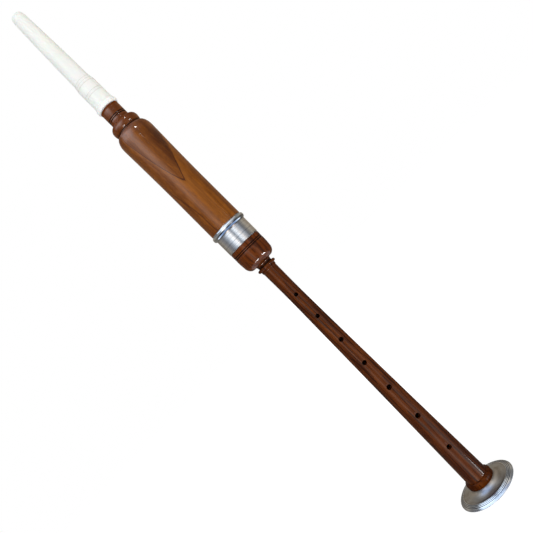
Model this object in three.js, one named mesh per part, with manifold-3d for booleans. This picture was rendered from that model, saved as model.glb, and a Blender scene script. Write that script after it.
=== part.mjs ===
// Practice chanter of a Highland bagpipe, standing on its sole with the mouthpiece up.
// Millimetres. +Z runs up the bore, and the finger holes face -Y.
// The origin is the centre of the flat ring that the sole stands on.

import * as THREE from 'three';
import { mergeVertices } from 'three/addons/utils/BufferGeometryUtils.js';
import Module from 'manifold-3d';

const wasm = await Module();
wasm.setup();

// Fits and facets shared by all pieces
const fitGap = 0.3;
const turnSides = 32;
const smallSides = 20;
const holeSides = 12;
const roundSteps = 5;
const taperSteps = 8;
const cutOverrun = 1;

// Sole: a turned metal disc
const soleRadius = 23.65;
const soleHeight = 6.2;
const soleEdgeHeight = 0.6;
const soleFootBevel = 0.3;
const soleRimWidth = 4.45;
const soleRimHeight = 2.8;
const soleRimPower = 0.67;
const soleRimStep = 0.45;
const soleFootRingWidth = 5;
const soleHollowDepth = 1.2;

// Chanter stick: the lower half, one turning from the foot tenon to the upper tenon
const footTenonRadius = 7;
const boreRadius = 2.25;
const boreMouthBevel = 1.2;
const collarRadius = 10.9;
const collarHeight = 4.6;
const collarRoundHeight = 1.8;
const stickFootRadius = 8.98;
const stickTaperLength = 193;
const stickTaperPower = 1.18;
const stickWaistRadius = 5.68;
const stickWaistLength = 20.7;
const stickTopFlare = 0.18;
const flangeCollarStep = 0.47;
const flangeCollarLength = 2;
const flangeCollarRound = 0.8;
const flangeRadius = 8;
const flangeThickness = 2.4;
const grooveRadius = 5.9;
const grooveLength = 0.85;
const grooveConeLength = 1.9;
const cupStepRadius = 6.9;
const cupRadius = 13.15;
const cupHeight = 19.05;
const cupRoundWidth = 5;
const cupRoundHeight = 6;
const cupSwell = 0.35;
const cupSwellHeight = 6.3;
const cupSwellPower = 2;
const scribeDrop = 3.6;
const scribePitch = 1.45;
const scribeWidth = 0.5;
const scribeDepth = 0.25;

// Finger holes: places as shares of the stick between the collar and the flange, sizes as
// shares of the widest hole, both from the top hole down; the thumb hole lies behind
const fingerHoleRadius = 2.05;
const fingerHolePlaceShares = [0.868, 0.766, 0.655, 0.545, 0.429, 0.295, 0.149];
const fingerHoleSizeShares = [0.73, 0.78, 0.9, 0.9, 1, 0.98, 0.93];
const thumbHolePlaceShare = 0.913;
const thumbHoleSizeShare = 0.85;

// Upper tenon of the stick, with a lapped stretch between two rims
const tenonLength = 23.7;
const tenonRimLength = 1.8;
const tenonRimPlay = 0.4;
const tenonLappingThickness = 0.7;
const reedSeatRadius = 3.6;
const reedSeatDepth = 11;

// Barrel: the upper half, with the ferrule on a spigot at its lower end
const chamberRadius = 9.5;
const chamberDepth = 95;
const chamberRoofHeight = 6;
const airwayRadius = 2.5;
const barrelFootRadius = 13.6;
const barrelWaistRadius = 13.52;
const barrelWaistLength = 40;
const barrelBodyLength = 49.5;
const barrelSwellPower = 1.5;
const barrelShoulderRadius = 14.22;
const shoulderRoundHeight = 8.5;
const valleyRadius = 10.2;
const valleyLength = 0.4;
const beadRadius = 11.47;
const beadLowerHeight = 4.1;
const beadUpperHeight = 3.8;
const beadFootStep = 0.8;
const neckRadius = 7.62;
const neckCoveHeight = 1.6;
const neckLength = 11.6;
const neckScribeRise = 2.1;

// Ferrule: a metal tube with a bead at its upper end
const ferruleRadius = 13.3;
const ferruleWall = 1;
const ferruleLength = 18.2;
const ferruleBeadHeight = 1.45;
const ferruleBeadLength = 3.9;
const ferruleEndLand = 0.35;
const ferruleCoveWidth = 0.2;
const ferruleCoveLength = 1.3;

// Mouthpiece and the barrel's upper tenon that it pushes on
const mouthTenonLength = 16;
const mouthTenonRimLength = 1.3;
const mouthTenonRimPlay = 0.4;
const mouthLappingThickness = 0.6;
const mouthSocketRadius = 5.7;
const mouthpieceLength = 95.5;
const mouthpieceCuffRadius = 7.83;
const mouthpieceCuffLength = 22.5;
const mouthpieceStepLength = 6;
const mouthpieceStemRadius = 6.85;
const mouthpieceNoseRadius = 5.27;
const mouthpieceStemPower = 1.4;
const mouthpieceTipRound = 5.6;
const mouthpieceTipFlatWidth = 1;
const mouthpieceBoreRadius = 2.1;
const lipOverhang = 1.28;
const lipRoundHeight = 1.4;
const lipFlareHeight = 3.2;

// Reed
const stapleRadius = 2.3;
const stapleWall = 1;
const stapleLength = 30.2;
const seatLappingLength = 9.5;
const bladeLength = 37.5;
const bladeThickness = 0.55;
const bladeTipHalfWidth = 5;
const bladeTipHalfDepth = 1.15;
const bladeSteps = 7;
const bindingLength = 8;
const bindingThickness = 0.65;
const bridleHeight = 2;
const bridleThickness = 0.8;
const bridleTravel = 4;

// Heights that follow from the sizes above, from the foot up
const collarBase = soleHeight + fitGap;
const collarTop = collarBase + collarHeight;
const waistHeight = collarTop + stickTaperLength;
const flangeBase = waistHeight + stickWaistLength;
const flangeTop = flangeBase + flangeThickness;
const cupBase = flangeTop + grooveLength + grooveConeLength;
const cupTop = cupBase + cupHeight;
const tenonTop = cupTop + tenonLength;
const barrelBase = cupTop + fitGap;
const ferruleTop = barrelBase + ferruleLength;
const barrelShoulderBase = ferruleTop + fitGap;
const barrelWaist = barrelShoulderBase + barrelWaistLength;
const barrelShoulder = barrelWaist + barrelBodyLength;
const valleyBase = barrelShoulder + shoulderRoundHeight;
const beadBase = valleyBase + valleyLength;
const beadCrest = beadBase + beadLowerHeight;
const beadTop = beadCrest + beadUpperHeight;
const neckBase = beadTop + neckCoveHeight;
const neckTop = neckBase + neckLength;
const mouthTenonTop = neckTop + mouthTenonLength;
const mouthpieceBase = neckTop + fitGap;
const mouthpieceTop = mouthpieceBase + mouthpieceLength;
const stapleBase = tenonTop - reedSeatDepth + fitGap;
const stapleTop = stapleBase + stapleLength;
const bindingBase = stapleTop - bindingLength;

// A quarter of an ellipse from one corner to the other. It leaves the first corner along the
// axis where upright is true, and across it otherwise.
function quarter(from, to, upright, steps = roundSteps) {
  const points = [];
  for (let step = 0; step <= steps; step += 1) {
    const angle = (step / steps) * (Math.PI / 2);
    const early = Math.sin(angle);
    const late = 1 - Math.cos(angle);
    const across = upright ? late : early;
    const along = upright ? early : late;
    points.push([from[0] + (to[0] - from[0]) * across, from[1] + (to[1] - from[1]) * along]);
  }
  return points;
}

// A tapering stretch whose radius goes from one end to the other by a power of the way
function taper(from, to, power, steps = taperSteps) {
  const points = [];
  for (let step = 0; step <= steps; step += 1) {
    const share = step / steps;
    const left = (1 - share) ** power;
    points.push([to[0] + (from[0] - to[0]) * left, from[1] + (to[1] - from[1]) * share]);
  }
  return points;
}

// A V-shaped scribed line in a surface of one radius, written upwards
function scribe(radius, height) {
  const half = scribeWidth / 2;
  return [[radius, height - half], [radius - scribeDepth, height], [radius, height + half]];
}

// One outline from single points and stretches of points, without a point twice in a row
function outline(...stretches) {
  const points = stretches.flatMap((part) => (Array.isArray(part[0]) ? part : [part]));
  return points.filter((point, index) => {
    const before = points[(index + points.length - 1) % points.length];
    return Math.hypot(point[0] - before[0], point[1] - before[1]) > 0;
  });
}

// A turned solid: the outline, [radius, height] points, closed on itself and spun about Z
function turn(points, sides = turnSides) {
  const loop = [...points, points[0]].map(([radius, height]) => new THREE.Vector2(radius, height));
  const geometry = new THREE.LatheGeometry(loop, sides);
  geometry.rotateX(Math.PI / 2);
  return geometry;
}

// A plain ring between two radii and two heights
function ring(inner, outer, base, top, sides = turnSides) {
  return turn([[inner, base], [outer, base], [outer, top], [inner, top]], sides);
}

function toSolid(geometry) {
  const bare = geometry.clone();
  bare.deleteAttribute('normal');
  bare.deleteAttribute('uv');
  const merged = mergeVertices(bare);
  return new wasm.Manifold(new wasm.Mesh({
    numProp: 3,
    vertProperties: new Float32Array(merged.attributes.position.array),
    triVerts: new Uint32Array(merged.index.array),
  }));
}

function toGeometry(solid) {
  const mesh = solid.getMesh();
  const geometry = new THREE.BufferGeometry();
  geometry.setAttribute('position', new THREE.BufferAttribute(mesh.vertProperties, 3));
  geometry.setIndex(new THREE.BufferAttribute(mesh.triVerts, 1));
  geometry.computeVertexNormals();
  return geometry;
}

const chanter = new THREE.Group();

function addPiece(name, geometry, finish) {
  const piece = new THREE.Mesh(geometry, new THREE.MeshStandardMaterial(finish));
  piece.name = name;
  chanter.add(piece);
}

const barrelWood = { color: 0x8a5430, roughness: 0.3, metalness: 0 };
const stickWood = { color: 0x633618, roughness: 0.3, metalness: 0 };
const turnedMetal = { color: 0xb4b8bd, roughness: 0.3, metalness: 1 };
const dulledMetal = { color: 0x8f8c86, roughness: 0.38, metalness: 1 };
const whitePlastic = { color: 0xf2f4ea, roughness: 0.4, metalness: 0 };
const waxedHemp = { color: 0xc7a35c, roughness: 0.8, metalness: 0 };
const reedPlastic = { color: 0xe6dcc0, roughness: 0.35, metalness: 0 };
const reedBlack = { color: 0x1c1c1e, roughness: 0.5, metalness: 0 };

// The sole is hollow underneath, so it stands on a flat ring near its edge. Its upper face is
// dished from the collar down to a small step, and the rim falls from there to the edge.
function soleGeometry() {
  const bore = footTenonRadius + fitGap;
  const flatOuter = soleRadius - soleFootBevel;
  const flatInner = flatOuter - soleFootRingWidth;
  const rimInner = soleRadius - soleRimWidth;
  const dishEdge = [rimInner - soleRimStep, soleRimHeight - soleRimStep];
  return turn(outline(
    [bore, soleHollowDepth],
    [flatInner - soleHollowDepth, soleHollowDepth],
    [flatInner, 0],
    [flatOuter, 0],
    [soleRadius, soleFootBevel],
    taper([soleRadius, soleEdgeHeight], [rimInner, soleRimHeight], soleRimPower, 5),
    quarter(dishEdge, [collarRadius, soleHeight], false),
    [bore, soleHeight],
  ));
}

// The stick is turned in one piece, bored through, and seated for the reed at the top
function stickGeometry() {
  const flangeHalf = flangeThickness / 2;
  const flareRadius = stickWaistRadius + stickTopFlare;
  const collarLow = flangeBase - flangeCollarLength;
  const collarOuter = flareRadius + flangeCollarStep;
  const cupRoundTop = [cupRadius - cupSwell, cupBase + cupRoundHeight];
  const cupSwellTop = [cupRadius, cupBase + cupRoundHeight + cupSwellHeight];
  const upperScribe = cupTop - scribeDrop;
  const rimRadius = chamberRadius - tenonRimPlay;
  const lappedRadius = chamberRadius - tenonLappingThickness - 2 * fitGap;
  const seatFloor = tenonTop - reedSeatDepth;
  const boreMouth = boreRadius + boreMouthBevel;
  const body = turn(outline(
    [boreMouth, soleHollowDepth],
    [footTenonRadius, soleHollowDepth],
    [footTenonRadius, collarBase],
    [collarRadius, collarBase],
    quarter([collarRadius, collarTop - collarRoundHeight], [stickFootRadius, collarTop], true),
    taper([stickFootRadius, collarTop], [stickWaistRadius, waistHeight], stickTaperPower),
    quarter([flareRadius, collarLow], [collarOuter, collarLow + flangeCollarRound], false, 3),
    [collarOuter, flangeBase],
    quarter([flangeRadius - flangeHalf, flangeBase], [flangeRadius, flangeBase + flangeHalf], false, 3),
    quarter([flangeRadius, flangeTop - flangeHalf], [flangeRadius - flangeHalf, flangeTop], true, 3),
    [grooveRadius, flangeTop],
    [grooveRadius, flangeTop + grooveLength],
    [cupStepRadius, cupBase],
    quarter([cupRoundTop[0] - cupRoundWidth, cupBase], cupRoundTop, false, 7),
    taper(cupRoundTop, cupSwellTop, cupSwellPower, 3),
    scribe(cupRadius, upperScribe - scribePitch),
    scribe(cupRadius, upperScribe),
    [cupRadius, cupTop],
    [rimRadius, cupTop],
    [rimRadius, cupTop + tenonRimLength],
    [lappedRadius, cupTop + tenonRimLength],
    [lappedRadius, tenonTop - tenonRimLength],
    [rimRadius, tenonTop - tenonRimLength],
    [rimRadius, tenonTop],
    [reedSeatRadius, tenonTop],
    [reedSeatRadius, seatFloor],
    [boreRadius, seatFloor],
    [boreRadius, soleHollowDepth + boreMouthBevel],
  ));
  return toGeometry(toSolid(body).subtract(holeTools()));
}

// Drills for the finger holes, from the front to the bore's axis, and for the thumb hole
function holeTools() {
  const reach = stickFootRadius + cutOverrun;
  const span = flangeBase - collarTop;
  const drill = (radius, placeShare, side) => {
    const tool = new THREE.CylinderGeometry(radius, radius, reach, holeSides);
    tool.translate(0, (side * reach) / 2, collarTop + span * placeShare);
    return toSolid(tool);
  };
  let tools = drill(fingerHoleRadius * thumbHoleSizeShare, thumbHolePlaceShare, 1);
  fingerHolePlaceShares.forEach((placeShare, index) => {
    tools = tools.add(drill(fingerHoleRadius * fingerHoleSizeShares[index], placeShare, -1));
  });
  return tools;
}

// The barrel: spigot for the ferrule, body, shoulder, bead, neck and upper tenon outside, and
// the reed's chamber and the airway inside
function barrelGeometry() {
  const spigotRadius = ferruleRadius - ferruleWall - fitGap;
  const chamberTop = barrelBase + chamberDepth;
  const rimRadius = mouthSocketRadius - mouthTenonRimPlay;
  const lappedRadius = mouthSocketRadius - mouthLappingThickness - 2 * fitGap;
  const scribeBase = neckBase + neckScribeRise;
  const neckFoot = neckRadius + beadFootStep;
  return turn(outline(
    [chamberRadius, barrelBase],
    [spigotRadius, barrelBase],
    [spigotRadius, barrelShoulderBase],
    [barrelFootRadius, barrelShoulderBase],
    taper([barrelFootRadius, barrelShoulderBase], [barrelWaistRadius, barrelWaist], 1, 1),
    taper([barrelShoulderRadius, barrelShoulder], [barrelWaistRadius, barrelWaist], barrelSwellPower, 4)
      .reverse(),
    quarter([barrelShoulderRadius, barrelShoulder], [valleyRadius, valleyBase], true, 7),
    quarter([valleyRadius, beadBase], [beadRadius, beadCrest], false, 3),
    quarter([beadRadius, beadCrest], [neckFoot, beadTop], true),
    quarter([neckFoot, beadTop], [neckRadius, neckBase], false, 2),
    scribe(neckRadius, scribeBase),
    scribe(neckRadius, scribeBase + scribePitch),
    [neckRadius, neckTop],
    [rimRadius, neckTop],
    [rimRadius, neckTop + mouthTenonRimLength],
    [lappedRadius, neckTop + mouthTenonRimLength],
    [lappedRadius, mouthTenonTop - mouthTenonRimLength],
    [rimRadius, mouthTenonTop - mouthTenonRimLength],
    [rimRadius, mouthTenonTop],
    [airwayRadius, mouthTenonTop],
    quarter([airwayRadius, chamberTop + chamberRoofHeight], [chamberRadius, chamberTop], false, 4),
  ));
}

// The ferrule is a plain tube that swells a little to the half-round bead near its upper end
function ferruleGeometry() {
  const inner = ferruleRadius - ferruleWall;
  const beadTopHeight = ferruleTop - ferruleEndLand;
  const beadLow = beadTopHeight - ferruleBeadLength;
  const beadMiddle = beadTopHeight - ferruleBeadLength / 2;
  const crest = ferruleRadius + ferruleBeadHeight;
  const coved = ferruleRadius + ferruleCoveWidth;
  return turn(outline(
    [inner, barrelBase],
    [ferruleRadius, barrelBase],
    quarter([ferruleRadius, beadLow - ferruleCoveLength], [coved, beadLow], true, 2),
    quarter([coved, beadLow], [crest, beadMiddle], false, 4),
    quarter([crest, beadMiddle], [coved, beadTopHeight], true, 4),
    [coved, ferruleTop],
    [inner, ferruleTop],
  ));
}

// The mouthpiece: a rounded lip, a flare up to the cuff, the step and the stem to the tip
function mouthpieceGeometry() {
  const lipRadius = neckRadius + lipOverhang;
  const lipCrest = mouthpieceBase + lipRoundHeight;
  const cuffTop = mouthpieceBase + mouthpieceCuffLength;
  const stemBase = cuffTop + mouthpieceStepLength;
  const noseBase = mouthpieceTop - mouthpieceTipRound;
  const tipOuter = mouthpieceBoreRadius + mouthpieceTipFlatWidth;
  const socketTop = mouthTenonTop + fitGap;
  return turn(outline(
    [mouthSocketRadius, mouthpieceBase],
    quarter([neckRadius, mouthpieceBase], [lipRadius, lipCrest], false, 4),
    quarter([lipRadius, lipCrest], [mouthpieceCuffRadius, lipCrest + lipFlareHeight], true, 4),
    [mouthpieceCuffRadius, cuffTop],
    [mouthpieceStemRadius, stemBase],
    taper([mouthpieceNoseRadius, noseBase], [mouthpieceStemRadius, stemBase], mouthpieceStemPower)
      .reverse(),
    quarter([mouthpieceNoseRadius, noseBase], [tipOuter, mouthpieceTop], true),
    [mouthpieceBoreRadius, mouthpieceTop],
    [mouthpieceBoreRadius, socketTop],
    [mouthSocketRadius, socketTop],
  ));
}

// Hemp wound on a lapped stretch, up to just under the socket's wall
function lappingGeometry(socketRadius, thickness, base, top, sides) {
  const outer = socketRadius - fitGap;
  return ring(outer - thickness, outer, base + fitGap, top - fitGap, sides);
}

// The two blades together are a tube that is round at the binding and flattens to the tip.
// A point of it stands at an angle and a height, inset from the outer face.
function bladeHalfSizes(height) {
  const round = stapleRadius + fitGap + bladeThickness;
  const share = Math.max(0, (height - stapleTop) / (bladeTop() - stapleTop));
  return [
    round + (bladeTipHalfWidth - round) * share,
    round + (bladeTipHalfDepth - round) * share,
  ];
}

function bladeTop() {
  return bindingBase + bladeLength;
}

function bladeTube() {
  const round = stapleRadius + fitGap + bladeThickness;
  const heights = [bindingBase, stapleTop];
  for (let step = 1; step <= bladeSteps; step += 1) {
    heights.push(stapleTop + (bladeTop() - stapleTop) * (step / bladeSteps));
  }
  const outer = heights.map((height) => [round, height]);
  const inner = heights.map((height) => [round - bladeThickness, height]).reverse();
  const tube = turn([...outer, ...inner], smallSides);
  const place = tube.attributes.position;
  for (let index = 0; index < place.count; index += 1) {
    const [x, y, z] = [place.getX(index), place.getY(index), place.getZ(index)];
    const radius = Math.hypot(x, y);
    const [halfWidth, halfDepth] = bladeHalfSizes(z);
    const inset = round - radius;
    place.setXYZ(index, (x / radius) * (halfWidth - inset), (y / radius) * (halfDepth - inset), z);
  }
  return tube;
}

// One blade: the half of the tube on one side, short of the middle by half a gap
function bladeGeometry(side) {
  const width = 2 * bladeTipHalfWidth + cutOverrun;
  const height = bladeLength + cutOverrun;
  const half = new THREE.BoxGeometry(width, width, height);
  half.translate(0, side * (width / 2 + fitGap / 2), bindingBase + bladeLength / 2);
  return toGeometry(toSolid(bladeTube()).intersect(toSolid(half)));
}

// The bridle is an oval band, wide enough for the blades all along its travel
function bridleGeometry() {
  const base = stapleTop + fitGap;
  const top = base + bridleHeight;
  const halfWidth = bladeHalfSizes(top + bridleTravel)[0] + fitGap;
  const halfDepth = bladeHalfSizes(base)[1] + fitGap;
  const band = ring(halfDepth, halfDepth + bridleThickness, base, top, smallSides);
  const place = band.attributes.position;
  for (let index = 0; index < place.count; index += 1) {
    const [x, y] = [place.getX(index), place.getY(index)];
    const stretch = (x / Math.hypot(x, y)) * (halfWidth - halfDepth);
    place.setX(index, x + stretch);
  }
  return band;
}

addPiece('sole', soleGeometry(), dulledMetal);
addPiece('chanter_stick', stickGeometry(), stickWood);
addPiece('tenon_lapping', lappingGeometry(
  chamberRadius, tenonLappingThickness, cupTop + tenonRimLength, tenonTop - tenonRimLength,
), waxedHemp);
addPiece('reed_staple', ring(
  stapleRadius - stapleWall, stapleRadius, stapleBase, stapleTop, smallSides,
), reedPlastic);
addPiece('reed_seat_lapping', ring(
  stapleRadius + fitGap, reedSeatRadius - fitGap, stapleBase, stapleBase + seatLappingLength, smallSides,
), waxedHemp);
addPiece('reed_blade_front', bladeGeometry(-1), reedPlastic);
addPiece('reed_blade_back', bladeGeometry(1), reedPlastic);
addPiece('reed_binding', ring(
  stapleRadius + bladeThickness + 2 * fitGap,
  stapleRadius + bladeThickness + 2 * fitGap + bindingThickness,
  bindingBase, stapleTop, smallSides,
), reedBlack);
addPiece('reed_bridle', bridleGeometry(), reedBlack);
addPiece('barrel', barrelGeometry(), barrelWood);
addPiece('ferrule', ferruleGeometry(), turnedMetal);
addPiece('mouthpiece_lapping', lappingGeometry(
  mouthSocketRadius, mouthLappingThickness, neckTop + mouthTenonRimLength,
  mouthTenonTop - mouthTenonRimLength,
), waxedHemp);
addPiece('mouthpiece', mouthpieceGeometry(), whitePlastic);

export default chanter;
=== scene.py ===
import math

import bmesh
import bpy
from mathutils import Matrix, Vector


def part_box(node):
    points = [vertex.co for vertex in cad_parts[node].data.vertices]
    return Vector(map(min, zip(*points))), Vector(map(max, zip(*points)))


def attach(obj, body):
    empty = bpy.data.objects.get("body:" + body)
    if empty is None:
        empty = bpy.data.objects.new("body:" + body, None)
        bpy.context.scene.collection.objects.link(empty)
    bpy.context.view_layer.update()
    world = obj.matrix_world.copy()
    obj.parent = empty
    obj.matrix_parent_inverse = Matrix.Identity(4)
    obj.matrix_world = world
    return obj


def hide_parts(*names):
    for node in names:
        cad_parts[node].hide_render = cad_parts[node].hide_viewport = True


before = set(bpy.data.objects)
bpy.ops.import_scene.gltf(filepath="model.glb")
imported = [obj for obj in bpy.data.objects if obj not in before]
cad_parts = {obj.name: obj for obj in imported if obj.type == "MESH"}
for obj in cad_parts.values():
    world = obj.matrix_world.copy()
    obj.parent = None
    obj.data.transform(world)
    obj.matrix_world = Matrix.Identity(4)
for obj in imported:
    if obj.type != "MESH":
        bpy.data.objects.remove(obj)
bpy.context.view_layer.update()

# Camera
# The chanter was photographed lying down. Here it stands, so the camera looks at its front from
# the height of its middle, rolled until the mouthpiece points to the upper left.
MM = 0.001
photo_side = 533  # pixels
photo_scale = 0.726 * MM  # one pixel at the chanter's axis
photo_focal = 580  # pixels
axis_shift = 0.55  # pixels
camera_height = 225.7 * MM
camera_azimuth = math.radians(4.4)
camera_roll = math.radians(45.05)
sensor_width = 36
upright = Vector((0, 0, 1))
across = Vector((math.cos(camera_azimuth), -math.sin(camera_azimuth), 0))
ahead = Vector((math.sin(camera_azimuth), math.cos(camera_azimuth), 0))
camera_right = across * math.cos(camera_roll) - upright * math.sin(camera_roll)
camera_up = across * math.sin(camera_roll) + upright * math.cos(camera_roll)
camera_place = (upright * camera_height - ahead * photo_focal * photo_scale
                - across * axis_shift * photo_scale)
bpy.ops.object.camera_add(location=camera_place)
camera = bpy.context.active_object
camera.name = "camera"
camera.matrix_world = (Matrix.Translation(camera_place)
                       @ Matrix((camera_right, camera_up, -ahead)).transposed().to_4x4())
camera.data.sensor_width = sensor_width
camera.data.lens = sensor_width * photo_focal / photo_side
camera.data.clip_start = 10 * MM
bpy.context.scene.camera = camera
bpy.context.scene.view_settings.view_transform = "Standard"

# Sole
# A disc turned from metal, pushed on the tenon at the stick's foot. Its upper face is dished from
# the collar down to a small step, and the rim outside that carries three fine scribed lines.
same_point = 0.002 * MM
fit_gap = 0.3
hair_gap = 0.08
sole_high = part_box("sole")[1] / MM
sole_radius, sole_top = sole_high.x, sole_high.z
sole_bore = 7.0 + hair_gap
sole_collar = 10.9
sole_foot_width = 5.0
sole_hollow = 1.2
sole_foot_bevel = 0.3
sole_edge = 0.6
sole_rim_width = 4.45
sole_rim_height = 2.8
sole_rim_power = 1.5
sole_rim_step = 0.45
sole_scribes = (20.1, 21.0, 21.9)
sole_scribe_half = 0.2
sole_scribe_depth = 0.14
sole_scribe_land = 0.47
sole_edge_rings = (23.3, 22.9, 22.5)


def arc(start, end, upright, steps=10):
    """A quarter of an ellipse from one (radius, height) corner to another. It leaves the first
    corner along the axis where upright is true, and across it otherwise."""
    points = []
    for step in range(steps + 1):
        angle = step / steps * math.pi / 2
        early, late = math.sin(angle), 1 - math.cos(angle)
        out, along = (late, early) if upright else (early, late)
        points.append((start[0] + (end[0] - start[0]) * out, start[1] + (end[1] - start[1]) * along))
    return points


def select_where(obj, kind, test):
    """Selects the vertices (VERT) or the edges (EDGE) of a piece that pass a test."""
    bpy.ops.mesh.select_mode(type=kind)
    bpy.ops.mesh.select_all(action="DESELECT")
    mesh = bmesh.from_edit_mesh(obj.data)
    for element in mesh.edges if kind == "EDGE" else mesh.verts:
        element.select = test(element)
    mesh.select_flush_mode()
    bmesh.update_edit_mesh(obj.data)


def on_rings(corners, reach=0.01):
    """A test for the edges of the rings that stand at the given (radius, height) corners."""
    def test(edge):
        ends = [(end.co.xy.length / MM, end.co.z / MM) for end in edge.verts]
        return any(all(math.dist(end, corner) < reach for end in ends) for corner in corners)
    return test


def circle(name, radius, height, sides, fill_type="NOTHING"):
    """Starts a piece as a circle round the axis, with its place in its mesh."""
    bpy.ops.object.select_all(action="DESELECT")
    bpy.ops.mesh.primitive_circle_add(
        vertices=sides, radius=radius * MM, fill_type=fill_type, location=(0, 0, height * MM))
    obj = bpy.context.active_object
    obj.name = obj.data.name = name
    bpy.ops.object.transform_apply()
    return obj


def edit_all():
    """Opens the active piece for editing with all of it selected."""
    bpy.ops.object.mode_set(mode="EDIT")
    bpy.ops.mesh.select_all(action="SELECT")


def draw_out(points):
    """Extrudes the active piece along the axis through (half width, half depth, height) points, and
    draws it in or out at each. The first point is where it starts."""
    edit_all()
    for before, point in zip(points, points[1:]):
        rise = (point[2] - before[2]) * MM
        bpy.ops.mesh.extrude_region_move(TRANSFORM_OT_translate={"value": (0, 0, rise)})
        ratio = (point[0] / before[0], point[1] / before[1], 1)
        bpy.ops.transform.resize(value=ratio, center_override=(0, 0, point[2] * MM))


def tube(name, outline, sides):
    """A closed ring with an outline of (half width, half depth, height) points."""
    obj = circle(name, outline[0][0], outline[0][2], sides)
    draw_out(outline + outline[:1])
    bpy.ops.mesh.select_all(action="SELECT")
    bpy.ops.mesh.remove_doubles(threshold=same_point)
    return obj


def turned(name, outline, sides=96):
    """A piece turned on the lathe, from its outline of (radius, height) points. A point's third
    value is the width of the round that breaks its edge."""
    obj = tube(name, [(point[0], *point[:2]) for point in outline], sides)
    for width in sorted({point[2] for point in outline if len(point) > 2}):
        corners = [point[:2] for point in outline if point[2:] == (width,)]
        select_where(obj, "EDGE", on_rings(corners))
        bpy.ops.mesh.bevel(offset=width * MM, segments=3, affect="EDGES")
    close_up(obj)
    return obj


def close_up(obj, smooth_angle=32):
    """Merges doubles, points the faces out and shades the piece smooth between its hard edges."""
    if obj.mode == "OBJECT":
        bpy.ops.object.select_all(action="DESELECT")
    bpy.context.view_layer.objects.active = obj
    obj.select_set(True)
    bpy.ops.object.mode_set(mode="EDIT")
    bpy.ops.mesh.select_mode(type="VERT")
    bpy.ops.mesh.select_all(action="SELECT")
    bpy.ops.mesh.remove_doubles(threshold=same_point)
    bpy.ops.mesh.normals_make_consistent(inside=False)
    bpy.ops.object.mode_set(mode="OBJECT")
    bpy.ops.object.shade_smooth_by_angle(angle=math.radians(smooth_angle))


class Field:
    """A number, a place or a colour that changes over a surface. Sums on it add shader nodes, and
    the sign | takes the larger of two numbers."""

    def __init__(self, socket):
        self.socket = socket
        self.tree = socket.id_data

    def sum(self, operation, *values):
        return put(self.tree, "Math", dict(enumerate((self, *values))), operation=operation)

    def __add__(self, other):
        return self.sum("ADD", other)

    def __sub__(self, other):
        return self.sum("SUBTRACT", other)

    def __mul__(self, other):
        return self.sum("MULTIPLY", other)

    def __or__(self, other):
        return self.sum("MAXIMUM", other)

    def __abs__(self):
        return self.sum("ABSOLUTE")

    def moved(self, way):
        return put(self.tree, "VectorMath", {0: self, 1: way}, operation="ADD")

    def scaled(self, factor):
        return put(self.tree, "VectorMath", {0: self, 3: factor}, operation="SCALE")


def put(tree, kind, inputs=None, output=0, **settings):
    """Adds a shader node, sets its properties and gives its inputs their values or links. Returns
    one of its outputs."""
    node = tree.nodes.new("ShaderNode" + kind)
    for key, value in settings.items():
        setattr(node, key, value)
    for key, value in (inputs or {}).items():
        if isinstance(value, Field):
            tree.links.new(value.socket, node.inputs[key])
        else:
            node.inputs[key].default_value = value
    return Field(node.outputs[output])


def outputs_of(node):
    """A node's outputs by their names."""
    return {socket.name: Field(socket) for socket in node.outputs}


def join(node, **fields):
    """Links each field to the node's input of that name."""
    for label, field in fields.items():
        field.tree.links.new(field.socket, node.inputs[label.replace("_", " ").title()])


def mask(value, low, high):
    """0 below the low value and 1 above the high one, with a soft step between. With the high
    value first it falls instead."""
    limits = {"Value": value, "From Min": low, "From Max": high}
    return put(value.tree, "MapRange", limits, interpolation_type="SMOOTHSTEP")


def blend(share, first, second):
    """The second colour over the first."""
    return put(share.tree, "Mix", {0: share, 6: first, 7: second}, 2, data_type="RGBA")


def tint(red, green, blue):
    """A colour written from 0 to 255, as a picture gives it, for a shader."""
    shares = [value / 255 for value in (red, green, blue)]
    return tuple(s / 12.92 if s <= 0.04045 else ((s + 0.055) / 1.055) ** 2.4 for s in shares) + (1,)


def lay(colour, *layers):
    """Lays colours over a first one. Each layer is its share, then its red, green and blue."""
    for share, *over in layers:
        colour = blend(share, colour, tint(*over))
    return colour


def noise(place, stretch, detail=2, roughness=0.5):
    """Noise at a place in millimetres, with as many waves a millimetre along each axis."""
    mapped = put(place.tree, "Mapping", {"Vector": place, "Scale": stretch})
    values = {"Vector": mapped, "Scale": 1, "Detail": detail, "Roughness": roughness}
    return put(place.tree, "TexNoise", values)


def parts_of(place):
    """The three parts of a place."""
    return outputs_of(put(place.tree, "SeparateXYZ", {0: place}).socket.node).values()


def place_in_mm(tree):
    """The place on the piece in millimetres, whole and as its three parts."""
    place = put(tree, "TexCoord", output="Object").scaled(1 / MM)
    return place, *parts_of(place)


def place_of(x, y=0.0, z=0.0):
    """A place made of its parts."""
    return put(x.tree, "CombineXYZ", {0: x, 1: y, 2: z})


def axis_distance(x, y):
    """The distance from the axis."""
    return (x * x + y * y).sum("SQRT")


def turn_of(x, y):
    """The azimuth in degrees, 0 at the front and rising towards the right."""
    return x.sum("ARCTAN2", y * -1.0).sum("DEGREES")


def new_group(name, inputs, outputs):
    """An empty node group. Each input is a name with its value, and each output is a number."""
    tree = bpy.data.node_groups.new(name, "ShaderNodeTree")
    for label, value in inputs.items():
        kind = "NodeSocketFloat" if isinstance(value, float) else "NodeSocketVector"
        tree.interface.new_socket(label, in_out="INPUT", socket_type=kind).default_value = value
    for label in outputs:
        tree.interface.new_socket(label, in_out="OUTPUT", socket_type="NodeSocketFloat")
    return tree, outputs_of(tree.nodes.new("NodeGroupInput")), tree.nodes.new("NodeGroupOutput")


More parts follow.
